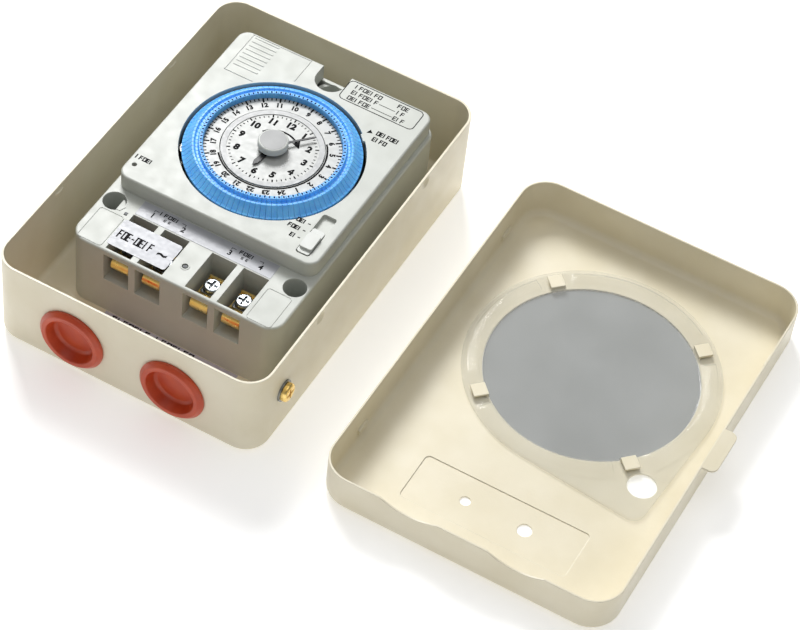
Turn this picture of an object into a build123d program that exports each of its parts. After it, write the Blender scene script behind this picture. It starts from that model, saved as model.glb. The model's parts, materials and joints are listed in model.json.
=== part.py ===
"""Programmable 24-hour timer: a steel box with a clock module inside, and its loose lid beside it, inside up.

Frame, in millimetres: the origin is the centre of the box's back, +X runs across the box,
+Y along it away from the cable entries, and +Z out of the box. Heights are measured from the box's back.
"""
from build123d import *
import os
from math import cos, hypot, pi, radians, sin

os.makedirs("parts", exist_ok=True)

# ---------------------------------------------------------------- steel box
box_width = 118.0
box_length = 172.3
box_height = 42.0
box_steel = 1.0
box_corner = 10.5
box_edge = 3.4
entry_spacing = 44.6
entry_height = 19.0
entry_radius = 11.2
wall_hole_spacing_x = 92.0
wall_hole_spacing_y = 152.0
wall_hole_radius = 2.25
rim_dimple_spread = 82.0
rim_dimple_drop = 2.8
rim_dimple_radius = 5.0
rim_dimple_depth = 0.9

# ---------------------------------------------------------------- rubber grommets
grommet_flange_radius = 14.0
grommet_flange = 2.6
grommet_fit = 0.05
grommet_skin = 1.1
grommet_dish_radius = 9.3
grommet_dish_floor = 2.2

# ---------------------------------------------------------------- earth screw
earth_y = -67.0
earth_z = 23.0
earth_radius = 2.0
earth_head_radius = 3.9
earth_head = 2.4
earth_washer_radius = 4.6
earth_washer = 0.8
earth_nut_across = 7.0
earth_nut = 3.2

# ---------------------------------------------------------------- lid
lid_steel = 0.8
lid_gap = 1.15
lid_height = 18.6
lid_edge = 3.7
lid_rest_x = 146.8
window_x = 1.2
window_y = 21.2
window_radius = 43.1
window_fit = 0.2
pane = 1.6
pane_radius = 51.4
pane_tail_x = 43.9
pane_tail_y = -29.4
pane_tail_radius = 5.2
bead_inner = 44.6
bead_outer = 49.2
bead_height = 0.8
bead_end_angle = 9.0
tab_width = 6.0
tab_reach = 6.0
tab_fit = 0.3
sight_x = 42.0
sight_y = -17.5
sight_radius = 5.85
emboss_width = 70.0
emboss_length = 22.5
emboss_x = 1.0
emboss_y = -59.7
emboss_depth = 0.3
rivet_hole_x = -11.5
rivet_hole_radius = 2.1
plug_hole_x = 13.7
plug_hole_radius = 2.9
scallop_chord = 24.0
scallop_depth = 3.0
pull_width = 21.5
pull_reach = 5.6
pull_corner = 3.0
lance_length = 6.5
lance_proud = 0.9
kink_proud = 0.4

# ---------------------------------------------------------------- module housing
module_x = 1.5
module_width = 92.6
module_near = -54.6
module_far = 72.0
module_corner = 7.0
module_wall = 2.0
module_clearance = 0.3
block_top = 35.7
block_back = -24.0
cover_top = 43.0
cover_inset = 1.9
cover_skin = 2.0
cover_wall = 1.8
cover_corner = 5.0
cover_far_gap = 0.4
edge_round = 0.9
base_thickness = 2.0

fixing_spread = 81.1
fixing_y = -31.0
far_fixing_y = 65.6
fixing_bore = 4.7
fixing_shell = 1.6
fixing_seat = 2.0
fixing_boss = 6.0
fixing_boss_radius = 4.0
fixing_thread = 2.0
fixing_head_radius = 3.8
fixing_head = 2.4
notch_radius = 6.6

# ---------------------------------------------------------------- terminals
pocket_width = 11.2
pocket_offsets = (-24.8, -10.7, 10.7, 24.8)
pocket_floor = 19.0
pocket_front = 1.5
pocket_back = -33.0
pocket_bar = 2.5
clamp_radius = 3.3
clamp_brass = 1.0
clamp_width = 7.8
clamp_y = -48.9
clamp_z = 25.3
clamp_seam = 1.2
contact_width = 8.6
contact_top = 26.0
upstand = 1.8
washer_side = 7.2
washer_thickness = 0.9
terminal_y = -41.8
terminal_head_radius = 3.5
terminal_head = 2.1
terminal_thread = 1.7
terminal_length = 5.0
cross_width = 0.9
cross_depth = 1.1

# ---------------------------------------------------------------- labels
label_thickness = 0.15
strip_width = 60.8
strip_length = 7.6
supply_label_width = 26.2
supply_label_length = 14.0
supply_label_x = -18.7
supply_label_y = -43.8
diagram_width = 60.0
diagram_length = 26.5
diagram_x = 2.8
diagram_y = -68.2

# ---------------------------------------------------------------- dial
dial_y = 19.8
well_radius = 37.0
well_wall = 1.0
well_depth = 5.5
ring_outer = 35.7
ring_inner = 27.4
flange_inner = 34.6
pin_count = 96
pin_gap_angle = 0.16
pin_sample = 90
pin_travel = 0.9
pin_base = 41.3
pin_lift = 0.1
land_outer = 29.0
land_top = 46.5
groove_drop = 0.9
crest_radius = 31.3
crest_top = 45.8
face_top = 43.9
carrier_thickness = 1.7
carrier_outer = 35.2
dial_skin = 0.8
dial_inner = 20.9
dial_ring_depth = 2.2
face_radius = 20.5
bezel_inner = 18.3
bezel_height = 0.3
pointer_angle = 46.0
pointer_reach = 0.8
pointer_width = 4.0

# ---------------------------------------------------------------- clock train
train_distance = 12.5
minute_teeth = 10
wheel_teeth = 40
hour_pinion_teeth = 10
hour_teeth = 30
dial_pinion_teeth = 10
dial_teeth = 60
motor_teeth = 8
train_direction = 180.0
motor_direction = 180.0
plate_thickness = 1.3
lower_plate_bottom = 28.0
bridge_bottom = 36.9
plate_left = -34.0
plate_right = 20.0
plate_half_length = 17.0
plate_corner = 4.0
post_radius = 2.4
running_fit = 0.06
arbor_radius = 1.7
pipe_outer = 3.4
tube_outer = 4.6
hub_radius = 7.0
knob_radius = 6.1
knob_top = 48.8
hour_hand_length = 12.6
minute_hand_length = 18.0
hour_hand_angle = 189.0
minute_hand_angle = 42.0
hand_thickness = 0.35
motor_radius = 9.0
motor_height = 11.0

# ---------------------------------------------------------------- selector switch
selector_x = 38.4
selector_y = -9.4
slot_width = 6.0
slot_length = 22.4
slot_depth = 1.6
selector_travel = 8.1
selector_fit = 0.3
selector_end_gap = 0.4
pad_bottom = 39.6
stem_width = 2.4
stem_length = 4.0
frame_height = 9.0

# ---------------------------------------------------------------- trip switch
lever_radius = 36.3
lever_pivot_y = 42.0
lever_thickness = 1.5
lever_bottom = 33.0
nose_top = 40.9
plunger_y = 26.0
plunger_radius = 1.0
plunger_gap = 0.3
trip_body = (5.0, 20.0, 6.4)

# ---------------------------------------------------------------- electronics
board_top = 31.6
board_thickness = 1.6
lamp_x = -39.4
lamp_y = -16.4
lamp_hole_radius = 1.0
lamp_radius = 1.5


def gear_outline(teeth, pitch_radius, phase):
    """Corner points of a small brass or plastic gear, with a straight-sided tooth centred on the phase angle."""
    module = 2 * pitch_radius / teeth
    half_tooth = 360 / teeth / 4
    flanks = ((pitch_radius - 1.15 * module, 1.42), (pitch_radius + 0.8 * module, 0.36))
    points = []
    for tooth in range(teeth):
        middle = phase + 360 / teeth * tooth
        for radius, share in (flanks[0], flanks[1]):
            angle = radians(middle - half_tooth * share)
            points.append((radius * cos(angle), radius * sin(angle)))
        for radius, share in (flanks[1], flanks[0]):
            angle = radians(middle + half_tooth * share)
            points.append((radius * cos(angle), radius * sin(angle)))
    return points


def meshed_phase(teeth, phase, direction, mate_teeth):
    """Phase of a mate that lies in the given direction from a gear, so that its gap takes the gear's tooth."""
    offset = phase - direction
    return direction + 180 - offset * teeth / mate_teeth + 180 / mate_teeth


# ================================================================ enclosure
wall_y = -box_length / 2
entry_xs = (-entry_spacing / 2, entry_spacing / 2)

with BuildPart() as enclosure_base:
    with BuildSketch(Plane.XY):
        RectangleRounded(box_width, box_length, box_corner)
    extrude(amount=box_height)
    fillet(enclosure_base.faces().sort_by(Axis.Z)[0].edges(), box_edge)
    offset(amount=-box_steel, openings=enclosure_base.faces().sort_by(Axis.Z)[-1])
    with BuildSketch(Plane.XZ.offset(-wall_y + 1)):
        with Locations(*[(x, entry_height) for x in entry_xs]):
            Circle(entry_radius)
    extrude(amount=-(box_steel + 2), mode=Mode.SUBTRACT)
    with BuildSketch(Plane(origin=(box_width / 2 + 1, earth_y, earth_z), x_dir=(0, 1, 0), z_dir=(1, 0, 0))):
        Circle(earth_radius + 0.1)
    extrude(amount=-(box_steel + 2), mode=Mode.SUBTRACT)
    with BuildSketch(Plane.XY):
        with GridLocations(wall_hole_spacing_x, wall_hole_spacing_y, 2, 2):
            Circle(wall_hole_radius)
    extrude(amount=box_steel, mode=Mode.SUBTRACT)
    dimple_x = box_width / 2 - box_steel + rim_dimple_radius - rim_dimple_depth
    dimple_z = box_height - rim_dimple_drop
    dimple_spots = [(side * dimple_x, end * rim_dimple_spread / 2, dimple_z) for side in (-1, 1) for end in (-1, 1)]
    with BuildPart(mode=Mode.PRIVATE) as side_skin:
        with BuildSketch(Plane.XY.offset(box_steel + box_edge)):
            RectangleRounded(box_width, box_length, box_corner)
        extrude(amount=box_height - 2 * box_edge)
    with BuildPart(mode=Mode.PRIVATE) as dimples:
        with Locations(*dimple_spots):
            Sphere(rim_dimple_radius)
    add(dimples.part & side_skin.part)
    with BuildPart(mode=Mode.PRIVATE) as dimple_hollows:
        with Locations(*[(x + box_steel * (1 if x > 0 else -1), y, z) for x, y, z in dimple_spots]):
            Sphere(rim_dimple_radius)
    add(dimple_hollows.part, mode=Mode.SUBTRACT)
enclosure_base.part.label = "enclosure_base"
export_step(enclosure_base.part, "parts/enclosure_base.step")

for side, entry_x in zip(("left", "right"), entry_xs):
    groove = entry_radius - grommet_fit
    lip = grommet_flange_radius
    with BuildPart() as grommet:
        with BuildSketch(Plane(origin=(entry_x, wall_y, entry_height))):
            with BuildLine():
                Polyline(
                    (0, grommet_dish_floor),
                    (grommet_dish_radius - 1.2, grommet_dish_floor),
                    (grommet_dish_radius, grommet_dish_floor - 0.8),
                    (lip - 3.4, -grommet_flange),
                    (lip - 1.5, -grommet_flange),
                    (lip, -grommet_flange * 0.45),
                    (lip, 0),
                    (groove, 0),
                    (groove, box_steel),
                    (groove + 1.6, box_steel),
                    (groove + 1.2, box_steel + 1.6),
                    (grommet_dish_radius + 0.8, grommet_dish_floor + grommet_skin),
                    (0, grommet_dish_floor + grommet_skin),
                    close=True,
                )
            make_face()
        revolve(axis=Axis((entry_x, wall_y, entry_height), (0, 1, 0)))
    grommet.part.label = f"cable_grommet_{side}"
    export_step(grommet.part, f"parts/cable_grommet_{side}.step")

earth_face = Plane(origin=(box_width / 2, earth_y, earth_z), x_dir=(0, 1, 0), z_dir=(1, 0, 0))
earth_inside = earth_face.offset(-box_steel)
with BuildPart() as earth_screw:
    with BuildSketch(earth_face.offset(earth_washer)):
        Circle(earth_head_radius)
    extrude(amount=earth_head)
    fillet(earth_screw.faces().sort_by(Axis.X)[-1].edges(), earth_head * 0.45)
    with BuildSketch(earth_face.offset(earth_washer)):
        Circle(earth_radius)
    extrude(amount=-(earth_washer + box_steel + earth_nut + 2.0))
    with BuildSketch(earth_face.offset(earth_washer + earth_head)):
        Rectangle(earth_head_radius * 1.3, cross_width)
        Rectangle(cross_width, earth_head_radius * 1.3)
    extrude(amount=-cross_depth, mode=Mode.SUBTRACT)
earth_screw.part.label = "earth_screw"
export_step(earth_screw.part, "parts/earth_screw.step")

with BuildPart() as earth_washers:
    for face, direction in ((earth_face, 1), (earth_inside, -1)):
        with BuildSketch(face):
            Circle(earth_washer_radius)
            Circle(earth_radius, mode=Mode.SUBTRACT)
        extrude(amount=direction * earth_washer)
earth_washers.part.label = "earth_washers"
export_step(earth_washers.part, "parts/earth_washers.step")

with BuildPart() as earth_hex_nut:
    with BuildSketch(earth_inside.offset(-earth_washer)):
        RegularPolygon(earth_nut_across / 2, 6, major_radius=False)
        Circle(earth_radius, mode=Mode.SUBTRACT)
    extrude(amount=-earth_nut)
earth_hex_nut.part.label = "earth_nut"
export_step(earth_hex_nut.part, "parts/earth_nut.step")

with BuildPart() as diagram_label:
    with BuildSketch(Plane(origin=(diagram_x, diagram_y, box_steel))):
        Rectangle(diagram_width, diagram_length)
    extrude(amount=label_thickness)
diagram_label.part.label = "circuit_label"
export_step(diagram_label.part, "parts/circuit_label.step")

# ================================================================ lid, beside the box and inside up
lid_width = box_width + 2 * (lid_gap + lid_steel)
lid_length = box_length + 2 * (lid_gap + lid_steel)
lid_corner = box_corner + lid_gap + lid_steel
lid_plane = Plane(origin=(lid_rest_x, 0, 0))
window_plane = Plane(origin=(lid_rest_x + window_x, window_y, 0))
tab_angles = (45, 135, 225, 315)
scallop_radius = (scallop_chord**2 / 4 + scallop_depth**2) / (2 * scallop_depth)
inside_x = lid_width / 2 - lid_steel

with BuildPart() as lid_shell:
    with BuildSketch(lid_plane):
        RectangleRounded(lid_width, lid_length, lid_corner)
    extrude(amount=lid_height)
    fillet(lid_shell.faces().sort_by(Axis.Z)[0].edges(), lid_edge)
    offset(amount=-lid_steel, openings=lid_shell.faces().sort_by(Axis.Z)[-1])
    with BuildSketch(window_plane):
        Circle(window_radius)
    extrude(amount=lid_steel, mode=Mode.SUBTRACT)
    with BuildSketch(lid_plane):
        with Locations((sight_x, sight_y)):
            Circle(sight_radius)
        with Locations((rivet_hole_x, emboss_y)):
            Circle(rivet_hole_radius)
        with Locations((plug_hole_x, emboss_y)):
            Circle(plug_hole_radius)
    extrude(amount=lid_steel, mode=Mode.SUBTRACT)
    with BuildSketch(lid_plane.offset(lid_steel)):
        with Locations((emboss_x, emboss_y)):
            RectangleRounded(emboss_width, emboss_length, 2)
    extrude(amount=-emboss_depth, mode=Mode.SUBTRACT)
    with BuildSketch(Plane.XZ.offset(lid_length / 2 + 1)):
        with Locations(*[(lid_rest_x + x, lid_height + scallop_radius - scallop_depth) for x in entry_xs]):
            Circle(scallop_radius)
    extrude(amount=-(lid_steel + 2), mode=Mode.SUBTRACT)
    with BuildSketch(lid_plane.offset(lid_height)):
        with Locations((lid_width / 2 - lid_steel / 2 + pull_reach / 2, 0)):
            Rectangle(pull_reach + lid_steel, pull_width)
    extrude(amount=-lid_steel)
    pull_corners = lid_shell.edges().filter_by(Axis.Z).sort_by(Axis.X)[-2:]
    fillet(pull_corners, pull_corner)
    lances = ((-inside_x, 63.7, 4.8, lance_proud), (-inside_x, -53.6, 5.2, lance_proud))
    kinks = ((inside_x, 51.5, lid_height - 2.4, kink_proud), (inside_x, -63.5, lid_height - 2.4, kink_proud))
    for x, y, z, proud in lances + kinks:
        inward = -1 if x > 0 else 1
        with BuildSketch(Plane(origin=(lid_rest_x + x, y, z), x_dir=(1, 0, 0), z_dir=(0, 1, 0))):
            with Locations((inward * (proud - lid_steel) / 2, 0)):
                Rectangle(proud + lid_steel, 2.4)
        extrude(amount=lance_length / 2, both=True)
    for angle in tab_angles:
        with BuildSketch(window_plane.offset(lid_steel)):
            with PolarLocations(window_radius + tab_reach / 2 + 0.2, 1, start_angle=angle):
                Rectangle(tab_reach, tab_width)
        extrude(amount=pane + lid_steel)
        with BuildSketch(window_plane.offset(lid_steel)):
            with PolarLocations(window_radius + tab_reach / 2 + 0.2 + lid_steel, 1, start_angle=angle):
                Rectangle(tab_reach + 0.01, tab_width + 0.01)
        extrude(amount=pane, mode=Mode.SUBTRACT)
lid_shell.part.label = "lid_shell"
export_step(lid_shell.part, "parts/lid_shell.step")

with BuildPart() as window_pane:
    with BuildSketch(lid_plane.offset(lid_steel)):
        with BuildSketch(mode=Mode.PRIVATE) as round_part:
            with Locations((window_x, window_y)):
                Circle(pane_radius)
        with BuildSketch(mode=Mode.PRIVATE) as tail_part:
            with Locations((pane_tail_x, pane_tail_y)):
                Circle(pane_tail_radius)
        make_hull(round_part.sketch.edges() + tail_part.sketch.edges())
    extrude(amount=pane)
    with BuildSketch(window_plane.offset(0.1)):
        Circle(window_radius - window_fit)
    extrude(amount=lid_steel)
    bead_arc = 90 - 2 * bead_end_angle
    for angle in tab_angles:
        with BuildSketch(window_plane.offset(lid_steel + pane)):
            with BuildLine():
                start = angle + bead_end_angle
                outer = CenterArc((0, 0), bead_outer, start, bead_arc)
                inner = CenterArc((0, 0), bead_inner, start, bead_arc)
                Line(outer @ 0, inner @ 0)
                Line(outer @ 1, inner @ 1)
            make_face()
        extrude(amount=bead_height)
        with BuildSketch(window_plane):
            with PolarLocations(window_radius + 0.2 + lid_steel / 2, 1, start_angle=angle):
                Rectangle(lid_steel + 2 * tab_fit, tab_width + 2 * tab_fit)
        extrude(amount=lid_steel + pane, mode=Mode.SUBTRACT)
window_pane.part.label = "window_pane"
export_step(window_pane.part, "parts/window_pane.step")

# ================================================================ module housing
module_length = module_far - module_near
module_middle = (module_far + module_near) / 2
floor_top = box_steel
base_top = floor_top + base_thickness
cavity_width = module_width - 2 * module_wall
fixing_spots = [
    (module_x - fixing_spread / 2, fixing_y),
    (module_x + fixing_spread / 2, fixing_y),
    (module_x, far_fixing_y),
]
boss_top = floor_top + fixing_boss
seat_top = boss_top + fixing_seat
pocket_xs = [module_x + offset_x for offset_x in pocket_offsets]
pocket_near = module_near + pocket_front
pocket_length = pocket_back - pocket_near
pocket_middle = (pocket_back + pocket_near) / 2
dial_axis = Axis((module_x, dial_y, 0), (0, 0, 1))
module_plane = Plane(origin=(module_x, module_middle, 0))
dial_plane = Plane(origin=(module_x, dial_y, 0))

with BuildPart() as mounting_bosses:
    with BuildSketch(Plane.XY.offset(floor_top)):
        with Locations(*fixing_spots):
            Circle(fixing_boss_radius)
            Circle(fixing_thread, mode=Mode.SUBTRACT)
    extrude(amount=fixing_boss)
mounting_bosses.part.label = "mounting_bosses"
export_step(mounting_bosses.part, "parts/mounting_bosses.step")

with BuildPart() as fixing_screws:
    with BuildSketch(Plane.XY.offset(seat_top)):
        with Locations(*fixing_spots):
            Circle(fixing_head_radius)
    extrude(amount=fixing_head)
    fillet(fixing_screws.faces().filter_by(Axis.Z).group_by(Axis.Z)[-1].edges(), fixing_head * 0.4)
    with BuildSketch(Plane.XY.offset(floor_top)):
        with Locations(*fixing_spots):
            Circle(fixing_thread)
    extrude(amount=seat_top - floor_top)
    with BuildSketch(Plane.XY.offset(seat_top + fixing_head)):
        with Locations(*fixing_spots):
            Rectangle(fixing_head_radius * 1.3, cross_width)
            Rectangle(cross_width, fixing_head_radius * 1.3)
    extrude(amount=-cross_depth, mode=Mode.SUBTRACT)
fixing_screws.part.label = "module_fixing_screws"
export_step(fixing_screws.part, "parts/module_fixing_screws.step")

with BuildPart() as base_plate:
    with BuildSketch(module_plane.offset(floor_top)):
        RectangleRounded(
            cavity_width - 2 * module_clearance,
            module_length - 2 * module_wall - 2 * module_clearance,
            module_corner - module_wall,
        )
    extrude(amount=base_thickness)
    post_spots = [
        (module_x + plate_left + 4, dial_y - plate_half_length + 3),
        (module_x + plate_left + 4, dial_y + plate_half_length - 3),
        (module_x + plate_right - 3, dial_y - plate_half_length + 3),
        (module_x + plate_right - 3, dial_y + plate_half_length - 3),
    ]
    board_posts = [(module_x - 36, -18), (module_x + 24, -18), (module_x - 36, -6), (module_x + 24, -6)]
    with BuildSketch(Plane.XY.offset(base_top)):
        with Locations(*post_spots):
            Circle(post_radius + 0.8)
    extrude(amount=lower_plate_bottom - base_top)
    with BuildSketch(Plane.XY.offset(base_top)):
        with Locations(*board_posts):
            Circle(post_radius)
    extrude(amount=board_top - board_thickness - base_top)
    with BuildSketch(Plane.XY.offset(floor_top)):
        with Locations(*fixing_spots):
            Circle(fixing_boss_radius + module_clearance)
    extrude(amount=base_thickness, mode=Mode.SUBTRACT)
base_plate.part.label = "module_base_plate"
export_step(base_plate.part, "parts/module_base_plate.step")

with BuildPart() as module_body:
    with BuildSketch(module_plane.offset(floor_top)) as body_outline:
        RectangleRounded(module_width, module_length, module_corner)
    extrude(amount=block_top - floor_top)
    fillet(module_body.faces().sort_by(Axis.Z)[-1].edges(), edge_round)
    main_far = module_far - module_wall
    main_near = block_back + module_wall
    with BuildSketch(Plane(origin=(module_x, (main_far + main_near) / 2, floor_top))):
        RectangleRounded(cavity_width, main_far - main_near, module_corner - module_wall)
    extrude(amount=block_top, mode=Mode.SUBTRACT)
    under_near = module_near + module_wall
    with BuildSketch(Plane(origin=(module_x, (block_back + under_near) / 2, floor_top))):
        RectangleRounded(cavity_width, block_back - under_near, module_corner - module_wall)
    extrude(amount=pocket_floor - module_wall - floor_top, mode=Mode.SUBTRACT)
    with BuildSketch(module_plane.offset(floor_top)):
        RectangleRounded(cavity_width, module_length - 2 * module_wall, module_corner - module_wall)
    extrude(amount=base_thickness + module_clearance, mode=Mode.SUBTRACT)
    with BuildPart(mode=Mode.PRIVATE) as columns:
        with BuildSketch(Plane.XY.offset(base_top + module_clearance)):
            with Locations(*fixing_spots):
                Circle(fixing_bore + fixing_shell)
        extrude(amount=block_top - edge_round - base_top - module_clearance)
    with BuildPart(mode=Mode.PRIVATE) as body_envelope:
        with BuildSketch(module_plane.offset(floor_top)):
            RectangleRounded(module_width, module_length, module_corner)
        extrude(amount=block_top - floor_top)
    add(columns.part & body_envelope.part)
    with BuildSketch(Plane.XY.offset(seat_top)):
        with Locations(*fixing_spots):
            Circle(fixing_bore)
    extrude(amount=block_top, mode=Mode.SUBTRACT)
    with BuildSketch(Plane.XY.offset(floor_top)):
        with Locations(*fixing_spots):
            Circle(fixing_thread + module_clearance)
    extrude(amount=seat_top, mode=Mode.SUBTRACT)
    with BuildSketch(Plane.XY.offset(floor_top)):
        with Locations(*fixing_spots):
            Circle(fixing_boss_radius + module_clearance)
    extrude(amount=fixing_boss, mode=Mode.SUBTRACT)
    with BuildSketch(Plane.XY.offset(pocket_floor)):
        with Locations(*[(x, pocket_middle) for x in pocket_xs]):
            Rectangle(pocket_width, pocket_length)
    extrude(amount=block_top, mode=Mode.SUBTRACT)
    with BuildSketch(Plane.XZ.offset(-module_near + 1)):
        with Locations(*[(x, (pocket_floor + block_top - pocket_bar) / 2) for x in pocket_xs]):
            Rectangle(pocket_width, block_top - pocket_bar - pocket_floor)
    extrude(amount=-(pocket_front + 2), mode=Mode.SUBTRACT)
    with BuildSketch(Plane.XY.offset(block_top)):
        with Locations((module_x, -44.5)):
            Circle(1.3)
    extrude(amount=-6, mode=Mode.SUBTRACT)
    with BuildSketch(Plane.XY.offset(block_top)):
        with Locations((module_x - 33.2, -34.4)):
            Rectangle(1.3, 1.6)
    extrude(amount=-2.5, mode=Mode.SUBTRACT)
module_body.part.label = "module_body"
export_step(module_body.part, "parts/module_body.step")

# ---------------------------------------------------------------- terminals
flat_top = contact_top
flat_bottom = contact_top - clamp_brass
flat_back = terminal_y + 5.9
for number, pocket_x in enumerate(pocket_xs, start=1):
    across = Plane(origin=(pocket_x, clamp_y, clamp_z), x_dir=(0, 1, 0), z_dir=(1, 0, 0))
    with BuildPart() as terminal_plate:
        with BuildSketch(across):
            Circle(clamp_radius)
            Circle(clamp_radius - clamp_brass, mode=Mode.SUBTRACT)
            with Locations((clamp_radius * 0.85, -clamp_radius * 0.45)):
                Rectangle(clamp_radius, clamp_seam, mode=Mode.SUBTRACT)
        extrude(amount=clamp_width / 2, both=True)
        flat_near = clamp_y + clamp_radius - clamp_brass * 0.8
        with BuildSketch(Plane(origin=(pocket_x, (flat_near + flat_back) / 2, flat_bottom))):
            Rectangle(contact_width, flat_back - flat_near)
        extrude(amount=clamp_brass)
        with BuildSketch(Plane(origin=(pocket_x, flat_back - clamp_brass / 2, flat_bottom))):
            Rectangle(contact_width, clamp_brass)
        extrude(amount=upstand)
        with BuildSketch(Plane(origin=(pocket_x, terminal_y, flat_bottom))):
            Circle(terminal_thread)
        extrude(amount=clamp_brass, mode=Mode.SUBTRACT)
        with BuildSketch(Plane(origin=(pocket_x, terminal_y + 5.4, pocket_floor))):
            Rectangle(contact_width * 0.6, clamp_brass)
        extrude(amount=flat_bottom - pocket_floor)
    terminal_plate.part.label = f"terminal_plate_{number}"
    export_step(terminal_plate.part, f"parts/terminal_plate_{number}.step")

    head_plane = Plane(origin=(pocket_x, terminal_y, flat_top + washer_thickness))
    with BuildPart() as terminal_screw:
        with BuildSketch(head_plane):
            Circle(terminal_head_radius)
        extrude(amount=terminal_head)
        fillet(terminal_screw.faces().sort_by(Axis.Z)[-1].edges(), terminal_head * 0.4)
        with BuildSketch(head_plane):
            Circle(terminal_thread)
        extrude(amount=-(terminal_length + washer_thickness))
        with BuildSketch(head_plane.offset(terminal_head)):
            Rectangle(terminal_head_radius * 1.3, cross_width)
            Rectangle(cross_width, terminal_head_radius * 1.3)
        extrude(amount=-cross_depth, mode=Mode.SUBTRACT)
    terminal_screw.part.label = f"terminal_screw_{number}"
    export_step(terminal_screw.part, f"parts/terminal_screw_{number}.step")

with BuildPart() as terminal_washers:
    with BuildSketch(Plane.XY.offset(flat_top)):
        with Locations(*[(x, terminal_y) for x in pocket_xs]):
            RectangleRounded(washer_side, washer_side, 1)
            Circle(terminal_thread, mode=Mode.SUBTRACT)
    extrude(amount=washer_thickness)
terminal_washers.part.label = "terminal_washers"
export_step(terminal_washers.part, "parts/terminal_washers.step")

with BuildPart() as marking_strip:
    strip_middle = pocket_back + 0.6 + strip_length / 2
    with BuildSketch(Plane(origin=(module_x, strip_middle, block_top))):
        Rectangle(strip_width, strip_length)
    extrude(amount=label_thickness)
marking_strip.part.label = "marking_strip"
export_step(marking_strip.part, "parts/marking_strip.step")

with BuildPart() as supply_label:
    with BuildSketch(Plane(origin=(module_x + supply_label_x, supply_label_y, block_top))):
        RectangleRounded(supply_label_width, supply_label_length, 1.2)
    extrude(amount=label_thickness)
supply_label.part.label = "supply_label"
export_step(supply_label.part, "parts/supply_label.step")

# ---------------------------------------------------------------- upper cover
cover_far = module_far - cover_far_gap
cover_width = module_width - 2 * cover_inset
cover_length = cover_far - block_back
cover_plane = Plane(origin=(module_x, (cover_far + block_back) / 2, 0))
cover_under = cover_top - cover_skin
slot_plane = Plane(origin=(selector_x, selector_y, 0))
well_bottom = cover_top - well_depth
selector_length = slot_length - selector_travel - 2 * selector_end_gap
slider_y = selector_y - slot_length / 2 + selector_end_gap + selector_length / 2
stem_y = slider_y - selector_length / 2 + stem_length / 2 + 0.3

with BuildPart() as upper_cover:
    with BuildSketch(cover_plane.offset(block_top)):
        RectangleRounded(cover_width, cover_length, cover_corner)
    extrude(amount=cover_top - block_top)
    fillet(upper_cover.faces().sort_by(Axis.Z)[-1].edges(), edge_round)
    with BuildSketch(cover_plane.offset(block_top)):
        RectangleRounded(cover_width - 2 * cover_wall, cover_length - 2 * cover_wall, cover_corner - cover_wall)
    extrude(amount=cover_under - block_top, mode=Mode.SUBTRACT)
    with BuildSketch(dial_plane.offset(well_bottom)):
        Circle(well_radius + well_wall)
    extrude(amount=cover_under - well_bottom)
    with BuildSketch(Plane(origin=(selector_x, selector_y, pad_bottom))):
        Rectangle(slot_width + 4, slot_length + 3)
    extrude(amount=cover_under - pad_bottom)
    with BuildPart(mode=Mode.PRIVATE) as notch_wall:
        with BuildSketch(Plane(origin=(module_x, far_fixing_y, block_top))):
            Circle(notch_radius + cover_wall)
            with Locations((0, notch_radius)):
                Rectangle(2 * (notch_radius + cover_wall), 2 * notch_radius)
        extrude(amount=cover_under - block_top)
    with BuildPart(mode=Mode.PRIVATE) as cover_envelope:
        with BuildSketch(cover_plane.offset(block_top)):
            RectangleRounded(cover_width, cover_length, cover_corner)
        extrude(amount=cover_under - block_top)
    add(notch_wall.part & cover_envelope.part)
    with BuildSketch(Plane(origin=(module_x, far_fixing_y, block_top))):
        Circle(notch_radius)
        with Locations((0, notch_radius)):
            Rectangle(2 * notch_radius, 2 * notch_radius)
    extrude(amount=cover_top, mode=Mode.SUBTRACT)
    with BuildSketch(dial_plane.offset(block_top)):
        Circle(well_radius)
    extrude(amount=cover_top, mode=Mode.SUBTRACT)
    with BuildSketch(dial_plane.offset(cover_top - 1.4)):
        with PolarLocations(well_radius - pointer_reach / 2 + 0.3, 1, start_angle=90 - pointer_angle):
            Rectangle(pointer_reach + 0.6, pointer_width)
    extrude(amount=1.4)
    with BuildSketch(dial_plane.offset(block_top)):
        with Locations((well_radius + well_wall / 2, 0)):
            Rectangle(well_wall + 2.4, pointer_width)
    extrude(amount=cover_under - block_top, mode=Mode.SUBTRACT)
    with BuildSketch(slot_plane.offset(cover_top)):
        RectangleRounded(slot_width, slot_length, 1.2)
    extrude(amount=-slot_depth, mode=Mode.SUBTRACT)
    stem_slot = stem_length + selector_travel + 2 * selector_fit
    with BuildSketch(Plane(origin=(selector_x, stem_y + selector_travel / 2, cover_top))):
        Rectangle(stem_width + 2 * selector_fit, stem_slot)
    extrude(amount=-(cover_top - block_top), mode=Mode.SUBTRACT)
    with BuildSketch(Plane(origin=(lamp_x, lamp_y, cover_top))):
        Circle(lamp_hole_radius)
    extrude(amount=-(cover_top - block_top), mode=Mode.SUBTRACT)
upper_cover.part.label = "upper_cover"
export_step(upper_cover.part, "parts/upper_cover.step")

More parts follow.
